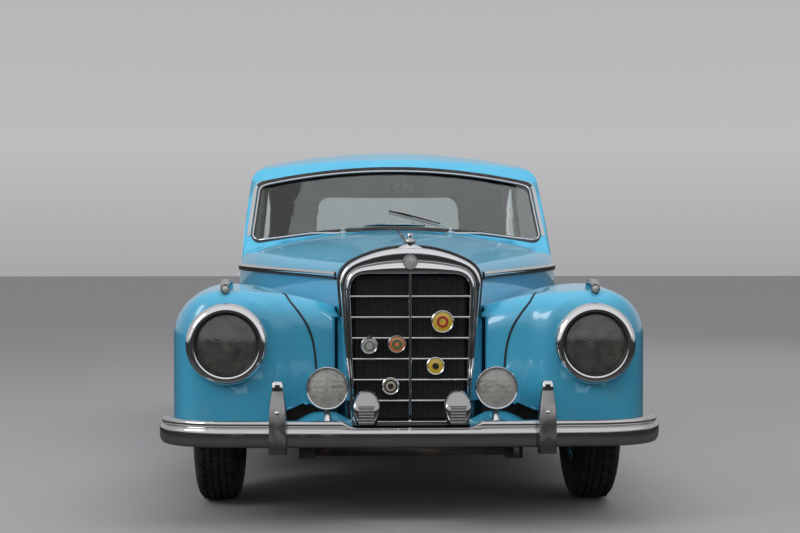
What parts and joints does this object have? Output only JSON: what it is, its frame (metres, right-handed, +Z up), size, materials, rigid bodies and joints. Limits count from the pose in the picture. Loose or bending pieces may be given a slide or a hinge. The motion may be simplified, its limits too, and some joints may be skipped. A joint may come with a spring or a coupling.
{
  "type": "1950s two-door coupe car",
  "caption": "Luxury coupe with an upright chrome radiator, round wings, long bonnet, opening doors and lids, steering and rolling wheels.",
  "frame": {"origin": "on the ground at the middle of the overall box", "axes": "-Y to the front of the car, +X to its left side, +Z up"},
  "size_m": [1.8608, 4.7, 1.5098],
  "materials": {
    "body_paint": "gloss",
    "chassis_black": "satin",
    "chrome_plate": "polished",
    "clear_glass": "polished",
    "lamp_glass": "fluted",
    "tail_lens": "gloss",
    "tyre_rubber": "matte",
    "wheel_paint": "gloss",
    "cast_block": "rough",
    "axle_steel": "satin",
    "exhaust_steel": "dull",
    "slat_black": "satin",
    "seat_leather": "grained",
    "dash_wood": "varnished",
    "wheel_plastic": "gloss",
    "badge_enamel": "enamel",
    "floor_black": "satin"
  },
  "bodies": {
    "car_body": {"bay_sides": "body_paint", "body_shell": "body_paint", "dashboard": "dash_wood", "engine_block": "cast_block", "exhaust": "exhaust_steel", "floor_pan": "floor_black", "fog_lamps": "chrome_plate", "frame_members": "chassis_black", "front_bumper": "chrome_plate", "front_suspension": "chassis_black", "front_wings": "body_paint", "fuel_tank": "chassis_black", "grille_badges": "badge_enamel", "headlamp_bezels": "chrome_plate", "headlamp_lenses": "lamp_glass", "horns": "chrome_plate", "radiator_core": "slat_black", "radiator_shell": "chrome_plate", "rear_axle": "chassis_black", "rear_bumper": "chrome_plate", "rear_glass": "clear_glass", "rear_wings": "body_paint", "roof": "body_paint", "seats": "seat_leather", "steering_wheel": "wheel_plastic", "tail_lamps": "tail_lens", "tow_eyes": "axle_steel", "windscreen": "clear_glass", "windscreen_frame": "chrome_plate", "wing_lamps": "chrome_plate", "wipers": "chrome_plate"},
    "door_left_body": {"door_left": "body_paint", "door_glass_left": "clear_glass"},
    "door_right_body": {"door_right": "body_paint", "door_glass_right": "clear_glass"},
    "bonnet_body": {"bonnet": "body_paint"},
    "boot_lid_body": {"boot_lid": "body_paint"},
    "steer_left_body": {"knuckle_left": "axle_steel"},
    "steer_right_body": {"knuckle_right": "axle_steel"},
    "wheel_front_left": {"tyre_front_left": "tyre_rubber", "rim_front_left": "wheel_paint"},
    "wheel_front_right": {"tyre_front_right": "tyre_rubber", "rim_front_right": "wheel_paint"},
    "wheel_rear_left": {"tyre_rear_left": "tyre_rubber", "rim_rear_left": "wheel_paint"},
    "wheel_rear_right": {"tyre_rear_right": "tyre_rubber", "rim_rear_right": "wheel_paint"}
  },
  "joints": [
    {"name": "door_left_hinge", "type": "hinge", "parent": "car_body", "child": "door_left_body", "pos_m": [0.8865, -0.4325, 0.64], "axis": [0, 0, -1], "range_deg": [0, 65]},
    {"name": "door_right_hinge", "type": "hinge", "parent": "car_body", "child": "door_right_body", "pos_m": [-0.8865, -0.4325, 0.64], "axis": [0, 0, 1], "range_deg": [0, 65]},
    {"name": "bonnet_hinge", "type": "hinge", "parent": "car_body", "child": "bonnet_body", "pos_m": [0, -0.562, 1.082], "axis": [-1, 0, 0], "range_deg": [0, 45]},
    {"name": "boot_lid_hinge", "type": "hinge", "parent": "car_body", "child": "boot_lid_body", "pos_m": [0, 1.56, 0.972], "axis": [1, 0, 0], "range_deg": [0, 60]},
    {"name": "steer_left", "type": "hinge", "parent": "car_body", "child": "steer_left_body", "pos_m": [0.665, -1.57, 0.354], "axis": [0, 0, 1], "range_deg": [-28, 28]},
    {"name": "steer_right", "type": "hinge", "parent": "car_body", "child": "steer_right_body", "pos_m": [-0.665, -1.57, 0.354], "axis": [0, 0, 1], "range_deg": [-28, 28]},
    {"name": "spin_front_left", "type": "hinge", "parent": "steer_left_body", "child": "wheel_front_left", "pos_m": [0.74, -1.57, 0.354], "axis": [1, 0, 0], "continuous": true},
    {"name": "spin_front_right", "type": "hinge", "parent": "steer_right_body", "child": "wheel_front_right", "pos_m": [-0.74, -1.57, 0.354], "axis": [1, 0, 0], "continuous": true},
    {"name": "spin_rear_left", "type": "hinge", "parent": "car_body", "child": "wheel_rear_left", "pos_m": [0.7625, 1.33, 0.354], "axis": [1, 0, 0], "continuous": true},
    {"name": "spin_rear_right", "type": "hinge", "parent": "car_body", "child": "wheel_rear_right", "pos_m": [-0.7625, 1.33, 0.354], "axis": [1, 0, 0], "continuous": true}
  ],
  "couplings": [
    {"joint": "steer_right", "follows": "steer_left", "ratio": 1}
  ]
}
